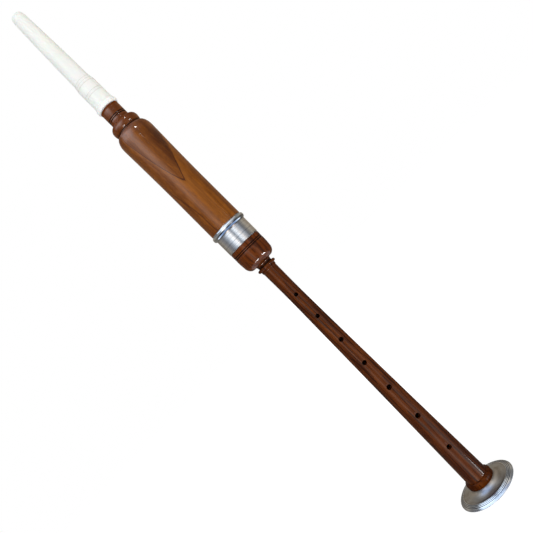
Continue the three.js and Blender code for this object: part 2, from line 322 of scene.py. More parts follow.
def use_group(tree, group, **inputs):
    """Places a node group with its own values and gives its outputs."""
    values = {label.replace("_", " ").title(): value for label, value in inputs.items()}
    return outputs_of(put(tree, "Group", values, node_tree=group).socket.node)


def new_material(name, constants):
    """A material with a Principled shader that holds the given constant values."""
    material = bpy.data.materials.new(name)
    material.use_nodes = True
    shader = material.node_tree.nodes["Principled BSDF"]
    for label, value in constants.items():
        shader.inputs[label].default_value = value
    return material, material.node_tree, shader


def finish(shader, colour, roughness, relief, depth):
    """Links the colour, the roughness, and a relief of the given depth in millimetres."""
    bump = put(relief.tree, "Bump", {"Height": relief, "Distance": depth * MM})
    join(shader, base_color=colour, roughness=roughness, normal=bump)


def mount(obj, material, body, slot, *nodes):
    """The piece gets its material, rides on its body and stands for its CAD nodes."""
    obj.data.materials.clear()
    obj.data.materials.append(material)
    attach(obj, body)
    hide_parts(*nodes)


# Lathe marks run round the axis: rings of noise that change only with the radius and the height.
lathe_marks, given, result = new_group("lathe marks", {"Fineness": 1.0, "Shift": 0.0}, ["Rings", "Scratches"])
place, x, y, z = place_in_mm(lathe_marks)
profile = place_of(axis_distance(x, y), z + given["Shift"]).scaled(given["Fineness"])
join(result, rings=noise(profile, (2.2, 2.2, 1), detail=4, roughness=0.7),
     scratches=mask(noise(place, (0.35, 0.35, 9), detail=3), 0.55, 0.75))

sole_rim_inner = sole_radius - sole_rim_width


def rim_height(radius):
    """The height of the rim's curve, which falls from its inner edge to the sole's edge."""
    share = (radius - sole_rim_inner) / sole_rim_width
    return sole_rim_height - (sole_rim_height - sole_edge) * share ** sole_rim_power


rim_points = [(radius, rim_height(radius)) for radius in (sole_radius, *sole_edge_rings)]
for scribe in reversed(sole_scribes):
    for aside, depth in ((sole_scribe_half, 0), (0, sole_scribe_depth), (-sole_scribe_half, 0),
                         (-sole_scribe_land, 0)):
        rim_points.append((scribe + aside, rim_height(scribe + aside) - depth))
foot_outer = sole_radius - sole_foot_bevel
foot_inner = foot_outer - sole_foot_width
dish_edge = (sole_rim_inner - sole_rim_step, sole_rim_height - sole_rim_step)
sole = turned("sole", [
    (sole_bore, sole_hollow),
    (foot_inner - sole_hollow, sole_hollow, 0.3),
    (foot_inner, 0, 0.2),
    (foot_outer, 0),
    (sole_radius, sole_foot_bevel),
    *rim_points,
    (sole_rim_inner, sole_rim_height, 0.1),
    *arc(dish_edge, (sole_collar, sole_top), False, 20),
    (sole_bore, sole_top),
], 128)
sole_metal, tree, shader = new_material("sole metal", {
    "Metallic": 1, "Roughness": 0.4, "Anisotropic": 0.3, "Anisotropic Rotation": 0.25})
marks = use_group(tree, lathe_marks, fineness=1.3)
place, x, y, z = place_in_mm(tree)
turn = turn_of(x, y)
radius = axis_distance(x, y)
clouds = noise(place, (0.12, 0.12, 0.12), detail=4, roughness=0.6)
on_rim = mask(radius, sole_rim_inner, sole_rim_inner + 0.5)
# The front of the sole is painted darker, painted shade.
front_shade_mask = mask(abs(turn + 4), 80, 35)
# The metal next to the collar is painted lighter all round, a painted highlight.
collar_highlight = mask(radius, sole_collar + 3.0, sole_collar + 0.6)
# A bluish patch on the dish, left of the front, is a painted reflection.
blue_reflection_patch = mask(radius, sole_collar + 4.0, sole_collar + 1.6) * mask(abs(turn + 17), 38, 8)
shade = mask(radius, sole_rim_inner - 2.8, sole_rim_inner - 1.0) * mask(abs(turn + 4), 62, 28)
# The outer edge of the rim is painted a darker blue-grey, painted shade.
shaded_outer_edge = mask(radius, sole_radius - 1.35, sole_radius - 0.75)
colour = lay(
    blend(mask(marks["Rings"], 0.3, 0.7), tint(172, 166, 156), tint(194, 190, 182)),
    (mask(clouds, 0.45, 0.75), 158, 148, 134),
    (front_shade_mask * 0.75, 128, 121, 116),
    (collar_highlight, 206, 199, 190),
    (blue_reflection_patch, 140, 147, 163),
    (shade * 0.65, 84, 82, 84),
    (on_rim, 226, 231, 236),
    (shaded_outer_edge * 0.6, 172, 182, 198),
    # The three scribed lines on the rim are painted dark blue-grey, painted shade.
    *[(mask(abs(radius - scribe), 0.34, 0.08), 84, 96, 114) for scribe in sole_scribes])
roughness = marks["Rings"] * 0.16 + 0.26 + clouds * 0.1 + on_rim * -0.2
finish(shader, colour, roughness, marks["Rings"], 0.02)
mount(sole, sole_metal, "chanter", "sole_metal", "sole")

# Chanter stick
# The lower half, one turning of reddish-brown wood under clear lacquer: foot tenon, collar, long
# taper, thin flange, cup and upper tenon. It is bored through and drilled with eight holes.
stick_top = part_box("chanter_stick")[1].z / MM
stick_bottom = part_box("chanter_stick")[0].z / MM
cup_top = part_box("ferrule")[0].z / MM - fit_gap
bore_radius = 2.25
bore_mouth = 1.2
foot_tenon_radius = 7.0
collar_radius = 10.9
collar_height = 4.6
collar_round = 1.8
stick_foot_radius = 8.98
taper_length = 193.0
taper_power = 1.18
waist_radius = 5.68
waist_length = 20.7
top_flare = 0.18
flange_collar_step = 0.47
flange_collar_length = 2.0
flange_collar_round = 0.8
flange_radius = 8.0
flange_thickness = 2.4
groove_radius = 5.9
groove_length = 0.85
cup_step_radius = 6.9
cup_radius = 13.15
cup_height = 19.05
cup_round_width = 5.0
cup_round_height = 6.0
cup_swell = 0.35
cup_swell_height = 6.3
scribe_drop = 3.6
scribe_pitch = 1.45
scribe_half = 0.25
scribe_depth = 0.25
tenon_rim = 1.8
tenon_rim_radius = 9.1
tenon_lapped_radius = 8.2
reed_seat_radius = 3.6
reed_seat_depth = 11.0
finger_hole_radius = 2.05
finger_hole_places = (0.868, 0.766, 0.655, 0.545, 0.429, 0.295, 0.149)
finger_hole_sizes = (0.73, 0.78, 0.9, 0.9, 1, 0.98, 0.93)
thumb_hole_place = 0.913
thumb_hole_size = 0.85
hole_round = 0.35

collar_base = sole_top + hair_gap
collar_top = sole_top + fit_gap + collar_height
waist_height = collar_top + taper_length
flange_base = waist_height + waist_length
flange_top = flange_base + flange_thickness
cup_base = cup_top - cup_height


def taper(start, end, power, steps=24):
    """A stretch whose radius goes from one end to the other by a power of the way."""
    points = []
    for step in range(steps + 1):
        share = step / steps
        radius = end[0] + (start[0] - end[0]) * (1 - share) ** power
        points.append((radius, start[1] + (end[1] - start[1]) * share))
    return points


def scribed(radius, height):
    """A line cut round the wood by the point of a chisel."""
    return [(radius, height - scribe_half - 0.12), (radius - 0.03, height - scribe_half),
            (radius - scribe_depth, height - 0.05), (radius - scribe_depth, height + 0.05),
            (radius - 0.03, height + scribe_half), (radius, height + scribe_half + 0.12)]


def tenon(rim_radius, lapped_radius, rim, low, high, rim_round, end_round):
    """A tenon between two heights, thinner for its lapping between two rims."""
    return [(rim_radius, low), (rim_radius, low + rim, rim_round), (lapped_radius, low + rim),
            (lapped_radius, high - rim), (rim_radius, high - rim, rim_round), (rim_radius, high, end_round)]


def drilled(obj, drills, side):
    """Drills round-mouthed holes from the front (-1) or the back (1) to the bore's axis. Each
    drill is its radius, its height and the radius of the stick there."""
    cutters = []
    for radius, height, surface in drills:
        straight = surface - 1.2 * hole_round
        cutter = circle("drill", radius, 0, 32, "NGON")
        mouth = arc((radius, straight), (radius + hole_round, surface), True, 6)
        outline = [(radius, 0), *mouth, (radius + hole_round, surface + 1)]
        draw_out([(out, out, along) for out, along in outline])
        bpy.ops.object.mode_set(mode="OBJECT")
        cutter.rotation_euler.x = -side * math.pi / 2
        cutter.location.z = height * MM
        bpy.ops.object.transform_apply()
        cutters.append(cutter)
    for cutter in cutters:
        cutter.select_set(True)
    bpy.ops.object.join()
    tool = bpy.context.active_object
    edit_all()
    bpy.ops.mesh.normals_make_consistent(inside=False)
    bpy.ops.object.mode_set(mode="OBJECT")
    bpy.context.view_layer.objects.active = obj
    cut = obj.modifiers.new("holes", "BOOLEAN")
    cut.operation, cut.solver, cut.object = "DIFFERENCE", "EXACT", tool
    bpy.ops.object.modifier_apply(modifier=cut.name)
    bpy.data.objects.remove(tool)


flange_half = flange_thickness / 2
flare_radius = waist_radius + top_flare
flange_flat = flange_radius - flange_half
flange_collar_low = flange_base - flange_collar_length
flange_collar_radius = flare_radius + flange_collar_step
cup_round_top = (cup_radius - cup_swell, cup_base + cup_round_height)
cup_swell_top = (cup_radius, cup_round_top[1] + cup_swell_height)
seat_floor = stick_top - reed_seat_depth
stick = turned("chanter_stick", [
    (bore_radius + bore_mouth, stick_bottom),
    (foot_tenon_radius, stick_bottom, 0.4),
    (foot_tenon_radius, collar_base),
    (collar_radius, collar_base, 0.25),
    *arc((collar_radius, collar_top - collar_round), (stick_foot_radius, collar_top), True),
    *taper((stick_foot_radius, collar_top + 0.12), (waist_radius, waist_height), taper_power, 40),
    *arc((flare_radius, flange_collar_low),
         (flange_collar_radius, flange_collar_low + flange_collar_round), False, 6),
    (flange_collar_radius, flange_base),
    *arc((flange_flat, flange_base), (flange_radius, flange_base + flange_half), False, 8),
    *arc((flange_radius, flange_top - flange_half), (flange_flat, flange_top), True, 8)[1:],
    (groove_radius + 0.3, flange_top),
    (groove_radius, flange_top + 0.3),
    (groove_radius, flange_top + groove_length),
    *arc((groove_radius, flange_top + groove_length), (cup_step_radius, cup_base), True, 6)[1:],
    *arc((cup_round_top[0] - cup_round_width, cup_base), cup_round_top, False, 18),
    *taper(cup_round_top, cup_swell_top, 2, 6)[1:],
    *scribed(cup_radius, cup_top - scribe_drop - scribe_pitch),
    *scribed(cup_radius, cup_top - scribe_drop),
    (cup_radius, cup_top - 0.5),
    (cup_radius, cup_top, 0.2),
    *tenon(tenon_rim_radius, tenon_lapped_radius, tenon_rim, cup_top, stick_top, 0.15, 0.3),
    (reed_seat_radius, stick_top, 0.3),
    (reed_seat_radius, seat_floor),
    (bore_radius, seat_floor, 0.2),
    (bore_radius, stick_bottom + bore_mouth),
])


def stick_radius(height):
    """The stick's radius at a height on its taper or its waist."""
    left = max(0, 1 - (height - collar_top) / taper_length)
    return waist_radius + (stick_foot_radius - waist_radius) * left ** taper_power


hole_span = flange_base - collar_top
fingers = []
for place_share, size_share in zip(finger_hole_places, finger_hole_sizes):
    height = collar_top + hole_span * place_share
    fingers.append((finger_hole_radius * size_share, height, stick_radius(height)))
thumb_height = collar_top + hole_span * thumb_hole_place
drilled(stick, fingers, -1)
drilled(stick, [(finger_hole_radius * thumb_hole_size, thumb_height, stick_radius(thumb_height))], 1)
close_up(stick)

# Timber is a solid pattern that every turned face cuts through: growth rings that lean on the
# grain, dark streaks, fine fibres, open pores and slow clouds of colour.
timber, given, result = new_group(
    "timber", {"Shift": (0.0, 0.0, 0.0), "Ring Width": 4.0, "Lean": 0.03, "Wander": 3.0, "Streak": 1.0},
    ["Rings", "Streaks", "Fibres", "Pores", "Clouds", "Figure"])
place = place_in_mm(timber)[0].moved(given["Shift"])
x, y, z = parts_of(place)
slow = noise(place, (0.07, 0.07, 0.012))
grown = x * 0.45 + y * 0.9 + z * given["Lean"] + slow * given["Wander"]
phase = grown.sum("DIVIDE", given["Ring Width"]).sum("FRACT")
late = mask(phase, 0.45, 0.94) * mask(phase, 1.0, 0.95)
uneven = mask(noise(place, (0.15, 0.15, 0.012)), 0.35, 0.65)
bent = place.moved(place_of(slow * 5.0))
streaked = bent.scaled(given["Streak"])
broad = mask(noise(streaked, (0.75, 0.75, 0.025), detail=3, roughness=0.6), 0.5, 0.58)
narrow = mask(noise(streaked, (1.7, 1.7, 0.05), roughness=0.6), 0.54, 0.66) * 0.7
join(result, rings=late * uneven, streaks=broad | narrow,
     fibres=noise(bent, (3.2, 3.2, 0.07), detail=3, roughness=0.6),
     pores=mask(noise(bent, (8, 8, 0.45), detail=1), 0.64, 0.74),
     clouds=noise(place, (0.06, 0.06, 0.02)), figure=noise(bent, (0.3, 0.3, 0.11), roughness=0.6))


def in_scribes(height, scribes, outer=0.55, inner=0.2):
    """1 in the lines cut at the given heights, where stain and dirt have gathered."""
    found = 0.0
    for scribe in scribes:
        found = mask(abs(height - scribe), outer, inner) | found
    return found


def lacquer_over(shader, colour, grain, thin):
    """Finishes a turning of wood under clear lacquer, which has run off where it is thin."""
    finish(shader, colour, grain["Fibres"] * 0.16 + 0.34, grain["Fibres"], 0.01)
    join(shader, coat_weight=thin * -lacquer_weight + lacquer_weight)


lacquer_weight = 0.45
lacquer = {"Roughness": 0.5, "IOR": 1.5, "Specular IOR Level": 0.03, "Coat Weight": lacquer_weight,
           "Coat Roughness": 0.07, "Coat IOR": 1.5}
foot_shade_high, foot_shade_low = 85, 40

stick_wood, tree, shader = new_material("stick wood", lacquer)
grain = use_group(tree, timber, shift=(3.0, 1.0, 7.0), ring_width=3.4, lean=0.012, wander=5.0)
place, x, y, z = place_in_mm(tree)
turn = turn_of(x, y)
# The left side of the stick is painted darker, painted shade.
shaded_left_side = mask(turn, -22, -48)
on_cup = mask(z, cup_base - 1.95, cup_base + 2.05)
# The flanks of the stick towards its foot are painted darker, painted shade.
shaded_foot_flanks = mask(abs(turn + 8), 24, 42) * mask(z, foot_shade_high, foot_shade_low)
# The groove between the flange and the cup is painted almost black, painted shade.
groove_shade = mask(z, flange_top - 0.5, flange_top) * mask(z, flange_top + 1.7, flange_top + 0.9)
dirt = in_scribes(z, (cup_top - scribe_drop - scribe_pitch, cup_top - scribe_drop))
colour = lay(
    blend(mask(grain["Clouds"], 0.35, 0.7), tint(88, 38, 3), tint(102, 48, 6)),
    (shaded_left_side * 0.6, 62, 22, 1),
    (shaded_foot_flanks * 0.6, 54, 17, 1),
    (on_cup, 103, 47, 6),
    (mask(grain["Figure"], 0.45, 0.7) * 0.3, 118, 60, 14),
    (mask(grain["Fibres"], 0.45, 0.75) * 0.4, 118, 58, 14),
    (grain["Rings"] * 0.65, 44, 11, 1),
    (grain["Streaks"] * (on_cup * -0.2 + 0.82), 40, 10, 1),
    (grain["Pores"] * 0.5, 34, 12, 4),
    (groove_shade * 0.85, 22, 8, 4),
    (dirt, 18, 9, 6))

# The lacquer is thin in the scribed lines, on the turnings under the cup and on the collar.
under_cup = mask(z, cup_base + 0.05, cup_base - 1.45)
turnings = mask(z, flange_collar_low - 0.5, flange_collar_low + 0.5) * under_cup
on_collar = mask(z, collar_top + 0.5, collar_top - 0.5)
thin = turnings * 0.7 | on_collar * 0.93 | dirt
lacquer_over(shader, colour, grain, thin)
mount(stick, stick_wood, "chanter", "stick_wood", "chanter_stick")

# Tenon lapping
# Waxed hemp thread wound on the stick's upper tenon between its two rims, so that the barrel
# pushes on it tightly. The thread lies on a first, flatter layer.


def wound(name, box, depth, thread, sides=64):
    """A thread wound over a closed under-layer, as deep as given and filling a CAD box."""
    low, high = (corner / MM for corner in box)
    base, top, outer = low.z, high.z, high.x
    under_radius = outer - thread * 0.75
    under = turned(name, [(outer - depth, base), (under_radius, base), (under_radius, top),
                          (outer - depth, top)], sides)
    bpy.ops.object.select_all(action="DESELECT")
    bpy.ops.mesh.primitive_circle_add(
        vertices=8, radius=thread / 2 * MM, rotation=(math.pi / 2, 0, 0),
        location=((outer - thread / 2) * MM, 0, (base + thread / 2) * MM))
    strand = bpy.context.active_object
    bpy.ops.object.transform_apply()
    turns = round((top - base - thread) / (thread * 0.93))
    screw = strand.modifiers.new("winding", "SCREW")
    screw.iterations = turns
    screw.screw_offset = (top - base - thread) / turns * MM
    screw.steps = screw.render_steps = sides
    bpy.ops.object.modifier_apply(modifier=screw.name)
    edit_all()
    bpy.ops.mesh.remove_doubles(threshold=same_point)
    bpy.ops.mesh.select_all(action="DESELECT")
    bpy.ops.mesh.select_non_manifold()
    bpy.ops.mesh.fill_holes(sides=0)
    bpy.ops.object.mode_set(mode="OBJECT")
    under.select_set(True)
    bpy.context.view_layer.objects.active = under
    bpy.ops.object.join()
    close_up(under, 80)
    return under


tenon_lapping = wound("tenon_lapping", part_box("tenon_lapping"), 0.7, 0.5)

# Thread is twisted from fibres, so light and dark hairs run nearly round the piece.
thread_hairs, given, result = new_group("thread hairs", {"Fineness": 1.0}, ["Hairs", "Clouds"])
place, x, y, z = place_in_mm(thread_hairs)
round_axis = y.sum("ARCTAN2", x)
wrapped = place_of(round_axis.sum("SINE") * 4.0, round_axis.sum("COSINE") * 4.0, z)
hairs = noise(wrapped.scaled(given["Fineness"]), (0.9, 0.9, 11), detail=3, roughness=0.65)
join(result, hairs=hairs, clouds=noise(place, (0.2, 0.2, 0.2)))

waxed_hemp, tree, shader = new_material("waxed hemp", {"Roughness": 0.6, "Specular IOR Level": 0.3})
hair = use_group(tree, thread_hairs)
colour = blend(mask(hair["Hairs"], 0.35, 0.65), tint(150, 112, 58), tint(212, 178, 112))
colour = lay(colour, (mask(hair["Clouds"], 0.45, 0.75), 132, 100, 54))
finish(shader, colour, hair["Hairs"] * 0.3 + 0.45, hair["Hairs"], 0.06)
mount(tenon_lapping, waxed_hemp, "tenon_lapping", "waxed_hemp", "tenon_lapping")

# Reed staple
# The reed's tube of pale plastic. It stands in the seat at the top of the stick's bore, and the
# blades are tied round its upper end.
staple_low, staple_high = (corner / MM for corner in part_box("reed_staple"))
staple_radius = staple_high.x
staple_wall = 1.0
staple_seat_length = 9.5
staple_inner = staple_radius - staple_wall
staple_groove = staple_low.z + 14.0
reed_staple = turned("reed_staple", [
    (staple_inner, staple_low.z, 0.15),
    (staple_radius - 0.15, staple_low.z, 0.15),
    (staple_radius - 0.15, staple_low.z + staple_seat_length + 0.1),
    (staple_radius, staple_low.z + staple_seat_length + 0.3),
    (staple_radius, staple_groove),
    (staple_radius - 0.2, staple_groove + 0.3),
    (staple_radius - 0.2, staple_groove + 1.1),
    (staple_radius, staple_groove + 1.4),
    (staple_radius, staple_high.z, 0.12),
    (staple_inner, staple_high.z, 0.12),
], 48)
reed_plastic, tree, shader = new_material("reed plastic", {
    "Roughness": 0.35, "Specular IOR Level": 0.4, "Subsurface Weight": 0.15, "Subsurface Scale": 0.001})
place, x, y, z = place_in_mm(tree)
blade_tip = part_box("reed_blade_front")[1].z / MM
drawn = noise(place, (2.4, 2.4, 0.09), detail=3)
colour = blend(mask(drawn, 0.35, 0.65), tint(222, 210, 178), tint(238, 229, 203))
worn_tip = mask(z, blade_tip - 3.7, blade_tip + 1.3)
colour = lay(colour, (worn_tip, 214, 196, 156))
finish(shader, colour, drawn * 0.2 + 0.28, drawn, 0.015)
mount(reed_staple, reed_plastic, "reed", "reed_plastic", "reed_staple")

# Reed seat lapping
# A few turns of waxed hemp round the foot of the staple, which hold it in its seat. It is wound
# like the lapping on the tenon, with a finer thread.
seat_lapping = wound("reed_seat_lapping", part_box("reed_seat_lapping"), 0.98, 0.45, 48)
mount(seat_lapping, waxed_hemp, "reed_seat_lapping", "waxed_hemp", "reed_seat_lapping")

# Reed blades
# Two thin plastic blades that face each other. Together they are round where they are tied on
# the staple, and flatten to a narrow mouth at the tip, where they are shaved thin.
blade_low, blade_high = (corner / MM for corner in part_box("reed_blade_front"))
blade_thickness = 0.55
blade_tip_thickness = 0.24
blade_round = staple_radius + fit_gap + blade_thickness
blade_half_width = blade_high.x
blade_half_depth = 1.15
blade_steps = 16
blade_split = 0.12


def blade_ring(share, inset=0.0):
    """Half the width, half the depth and the height of both blades together, a share of the way
    from the staple's end to the tip."""
    shape = 0.6 * share + 0.4 * share * share * (3 - 2 * share)
    return (blade_round + (blade_half_width - blade_round) * shape - inset,
            blade_round + (blade_half_depth - blade_round) * shape - inset,
            staple_high.z + (blade_high.z - staple_high.z) * share)


# Both blades are one flattening tube, which is then split down the middle.
shares = [step / blade_steps for step in range(blade_steps + 1)]
thinning = blade_thickness - blade_tip_thickness
blade_inner = blade_round - blade_thickness
blade_outline = [
    (blade_round, blade_round, blade_low.z),
    *[blade_ring(share) for share in shares],
    *[blade_ring(share, blade_thickness - thinning * share) for share in reversed(shares)],
    (blade_inner, blade_inner, blade_low.z)]
for side, name in ((-1, "reed_blade_front"), (1, "reed_blade_back")):
    blade = tube(name, blade_outline, 48)
    bpy.ops.mesh.normals_make_consistent(inside=False)
    bpy.ops.mesh.select_all(action="SELECT")
    bpy.ops.mesh.bisect(plane_co=(0, side * blade_split / 2 * MM, 0), plane_no=(0, side, 0), use_fill=True,
                        clear_inner=True)
    close_up(blade)
    mount(blade, reed_plastic, "reed", "reed_plastic", name)

# Reed binding
# Black waxed thread wound tightly over the lower ends of the blades, to tie them on the staple.
reed_binding = wound("reed_binding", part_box("reed_binding"), 0.93, 0.4, 48)
reed_thread, tree, shader = new_material("reed thread", {"Roughness": 0.5, "Specular IOR Level": 0.4})
hair = use_group(tree, thread_hairs, fineness=1.4)
colour = blend(mask(hair["Hairs"], 0.35, 0.65), tint(20, 20, 22), tint(52, 50, 52))
finish(shader, colour, hair["Hairs"] * 0.3 + 0.35, hair["Hairs"], 0.04)
mount(reed_binding, reed_thread, "reed", "reed_thread", "reed_binding")

# Reed bridle
# A small oval band of black rubber round both blades. It is slid along them to set the strength
# of the reed.
bridle_low, bridle_high = (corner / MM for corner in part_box("reed_bridle"))
bridle_thickness = 0.8
reed_bridle = turned("reed_bridle", [
    (bridle_high.y - bridle_thickness, bridle_low.z, 0.2),
    (bridle_high.y, bridle_low.z, 0.3),
    (bridle_high.y, bridle_high.z, 0.3),
    (bridle_high.y - bridle_thickness, bridle_high.z, 0.2),
], 64)
bridle_stretch = bridle_high.x - bridle_high.y
bpy.ops.object.select_all(action="DESELECT")
reed_bridle.select_set(True)
bpy.context.view_layer.objects.active = reed_bridle
bpy.ops.object.mode_set(mode="EDIT")
for side in (-1, 1):
    select_where(reed_bridle, "VERT", lambda vertex: vertex.co.x * side > 0.02 * MM)
    bpy.ops.transform.translate(value=(side * bridle_stretch * MM, 0, 0))
bpy.ops.object.mode_set(mode="OBJECT")
bridle_rubber, tree, shader = new_material("bridle rubber", {"Roughness": 0.6, "Specular IOR Level": 0.35})
dust = noise(place_in_mm(tree)[0], (1.5, 1.5, 1.5), detail=4, roughness=0.65)
colour = blend(mask(dust, 0.4, 0.75), tint(24, 24, 25), tint(50, 49, 48))
finish(shader, colour, dust * 0.35 + 0.4, dust, 0.03)
mount(reed_bridle, bridle_rubber, "reed_bridle", "bridle_rubber", "reed_bridle")

# Barrel
# The upper half, turned from a lighter piece of the same wood: spigot, long body, shoulder, bead,
# neck and upper tenon. It is hollowed for the reed, and it pushes on the stick's tenon.
barrel_low, barrel_high = (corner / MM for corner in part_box("barrel"))
ferrule_low, ferrule_high = (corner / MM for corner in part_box("ferrule"))
chamber_radius = 9.5
chamber_depth = 95.0
chamber_roof = 6.0
airway_radius = 2.5
spigot_radius = 12.3 - hair_gap
body_foot_radius = 13.6
body_waist_radius = 13.52
body_waist_length = 40.0
body_length = 49.5
body_swell_power = 1.5
shoulder_radius = barrel_high.x
shoulder_round = 8.5
valley_radius = 10.2
valley_length = 0.4
bead_radius = 11.47
bead_lower = 4.1
bead_upper = 3.8
bead_foot_step = 0.8
neck_radius = 7.62
neck_cove = 1.6
neck_length = 11.6
neck_scribe_rise = 2.1
mouth_tenon_rim = 1.3
mouth_rim_radius = 5.3
mouth_lapped_radius = 4.5

shoulder_base = ferrule_high.z + hair_gap
body_waist = ferrule_high.z + fit_gap + body_waist_length
shoulder_height = body_waist + body_length
valley_base = shoulder_height + shoulder_round
bead_base = valley_base + valley_length
bead_crest = bead_base + bead_lower
bead_top = bead_crest + bead_upper
neck_base = bead_top + neck_cove
neck_top = neck_base + neck_length
neck_foot = neck_radius + bead_foot_step
chamber_top = barrel_low.z + chamber_depth
neck_scribes = (neck_base + neck_scribe_rise, neck_base + neck_scribe_rise + scribe_pitch)
barrel = turned("barrel", [
    (chamber_radius, barrel_low.z, 0.3),
    (spigot_radius, barrel_low.z, 0.2),
    (spigot_radius, shoulder_base),
    (body_foot_radius, shoulder_base, 0.12),
    *taper((body_foot_radius, shoulder_base + 0.3), (body_waist_radius, body_waist), 1, 6),
    *reversed(taper((shoulder_radius, shoulder_height), (body_waist_radius, body_waist),
                    body_swell_power, 16)[:-1]),
    *arc((shoulder_radius, shoulder_height), (valley_radius, valley_base), True, 24)[1:],
    *arc((valley_radius, bead_base), (bead_radius, bead_crest), False, 10),
    *arc((bead_radius, bead_crest), (neck_foot, bead_top), True, 14)[1:],
    *arc((neck_foot, bead_top), (neck_radius, neck_base), False, 5)[1:],
    *scribed(neck_radius, neck_scribes[0]),
    *scribed(neck_radius, neck_scribes[1]),
    (neck_radius, neck_top - 0.5),
    (neck_radius, neck_top, 0.2),
    *tenon(mouth_rim_radius, mouth_lapped_radius, mouth_tenon_rim, neck_top, barrel_high.z, 0.12, 0.2),
    (airway_radius, barrel_high.z, 0.25),
    *arc((airway_radius, chamber_top + chamber_roof), (chamber_radius, chamber_top), False, 8),
], 128)

barrel_wood, tree, shader = new_material("barrel wood", lacquer)
grain = use_group(tree, timber, shift=(-6.0, 4.0, 31.0), ring_width=7.5, lean=0.035, wander=9.0, streak=0.7)
place, x, y, z = place_in_mm(tree)
turn = turn_of(x, y)
wave = noise(place, (0.1, 0.1, 0.07)) - 0.5

# The dark vein is the edge of one growth layer. It comes to a point at the front and climbs to both
# sides, so its height grows with the turn away from the point.
vein_turn = 5.5
vein_height = 309.2
aside = turn - vein_turn
right_arm = (aside | 0.0).sum("POWER", 0.9) * 0.92
left_arm = (aside * -1.0 | 0.0).sum("POWER", 1.535) * 0.1245
above = z - (right_arm + left_arm + wave * 5.0 + vein_height)
vein_left = mask(aside * 0.5 + z, 362, 334) | 0.15
vein = mask(abs(above) * 0.45, 0.75, 0.15) * vein_left
inside_vein = mask(above, -3, 5)
glow = mask(above, -14, -3) * mask(above, -1, -3)

# A second layer's edge runs down the left side and steepens towards the ferrule.
climb = ((z - ferrule_high.z | 0.0) * 0.1).sum("POWER", 2.3)
from_second = abs(turn + climb + 35.8 + wave * 8.0) * 0.24
second_vein = mask(from_second, 0.8, 0.15) * mask(z, 322, 306)

dirt = in_scribes(z, neck_scribes)
# Inside the vein, the right flank is painted darker in two steps, painted shade.
right_part = inside_vein * mask(z, 360, 344)
in_light = mask(abs(turn - 13), 24, 6) * mask(above, -2, -8)
# The left side of the barrel is painted darker, painted shade.
shaded_left_side = mask(turn, -10, -38)
# The upper body, shoulder, bead and neck are painted darker, painted shade.
shade_by_bead = mask(z, 352, 374)
# A lighter band on the right edge of the upper body and shoulder is a painted sheen.
right_edge_sheen = mask(turn, 44, 74) * mask(z, 346, 360)
# The valley between the shoulder and the bead is painted dark, painted shade.
valley_shade = mask(abs(z - (valley_base + bead_base) / 2), 1.4, 0.2)
colour = lay(
    blend(mask(grain["Clouds"], 0.35, 0.68), tint(128, 70, 8), tint(140, 78, 12)),
    (inside_vein * 0.8, 114, 60, 6),
    (right_part * mask(turn, 6, 34), 84, 38, 3),
    (shaded_left_side * 0.8, 101, 51, 5),
    (in_light * 0.45, 160, 94, 24),
    (mask(grain["Figure"], 0.45, 0.7) * 0.35, 158, 92, 26),
    (mask(grain["Figure"], 0.48, 0.3) * 0.35, 92, 46, 5),
    (mask(grain["Fibres"], 0.45, 0.8) * 0.4, 156, 90, 20),
    (grain["Rings"] * 0.35, 80, 36, 4),
    (grain["Streaks"] * 0.3, 74, 32, 4),
    (glow * 0.3, 160, 96, 30),
    (vein * 0.85, 54, 20, 4),
    (second_vein * 0.65, 58, 22, 4),
    (shade_by_bead * 0.7, 92, 40, 6),
    (right_part * mask(turn, 16, 40) * 0.6, 62, 26, 2),
    (right_edge_sheen * 0.7, 142, 84, 38),
    (valley_shade * 0.7, 36, 13, 4),
    (grain["Pores"] * 0.4, 50, 20, 4),
    (dirt, 18, 9, 6))

# The lacquer is thin at the neck's end, in the scribed lines and on the bead's upper side.
cove = mask(z, bead_crest + 0.3, bead_crest + 1.5) * mask(z, neck_base + 1.2, neck_base)
neck_end = mask(z, neck_top - 2.0, neck_top - 1.2)
thin = cove * 0.8 | neck_end | dirt
lacquer_over(shader, colour, grain, thin)
mount(barrel, barrel_wood, "barrel", "barrel_wood", "barrel")

# Ferrule
# A tube turned from bright metal, with a half-round bead at its upper end. It is pressed on the
# barrel's spigot and keeps the thin wood of the socket from splitting.
ferrule_radius = 13.3
ferrule_bore = 12.3
ferrule_bead = 3.9
ferrule_end_land = 0.35
ferrule_cove_width = 0.2
ferrule_cove_length = 1.3
ferrule_end_ring = 0.4
ferrule_crest = ferrule_high.x
ferrule_coved = ferrule_radius + ferrule_cove_width
ferrule_bead_top = ferrule_high.z - ferrule_end_land
ferrule_bead_low = ferrule_bead_top - ferrule_bead
bead_middle = ferrule_bead_top - ferrule_bead / 2
ferrule = turned("ferrule", [
    (ferrule_bore, ferrule_low.z, 0.1),
    (ferrule_radius, ferrule_low.z, 0.15),
    (ferrule_radius, ferrule_low.z + ferrule_end_ring),
    *arc((ferrule_radius, ferrule_bead_low - ferrule_cove_length),
         (ferrule_coved, ferrule_bead_low), True, 6),
    *arc((ferrule_coved, ferrule_bead_low), (ferrule_crest, bead_middle), False, 12)[1:],
    *arc((ferrule_crest, bead_middle), (ferrule_coved, ferrule_bead_top), True, 12)[1:],
    (ferrule_coved, ferrule_high.z, 0.1),
    (ferrule_bore, ferrule_high.z),
], 128)
ferrule_metal, tree, shader = new_material("ferrule metal", {
    "Metallic": 1, "Roughness": 0.2, "Anisotropic": 0.7, "Anisotropic Rotation": 0.25})
marks = use_group(tree, lathe_marks, fineness=0.8, shift=5.0)
place, x, y, z = place_in_mm(tree)
clouds = noise(place, (0.2, 0.2, 0.5), detail=3)
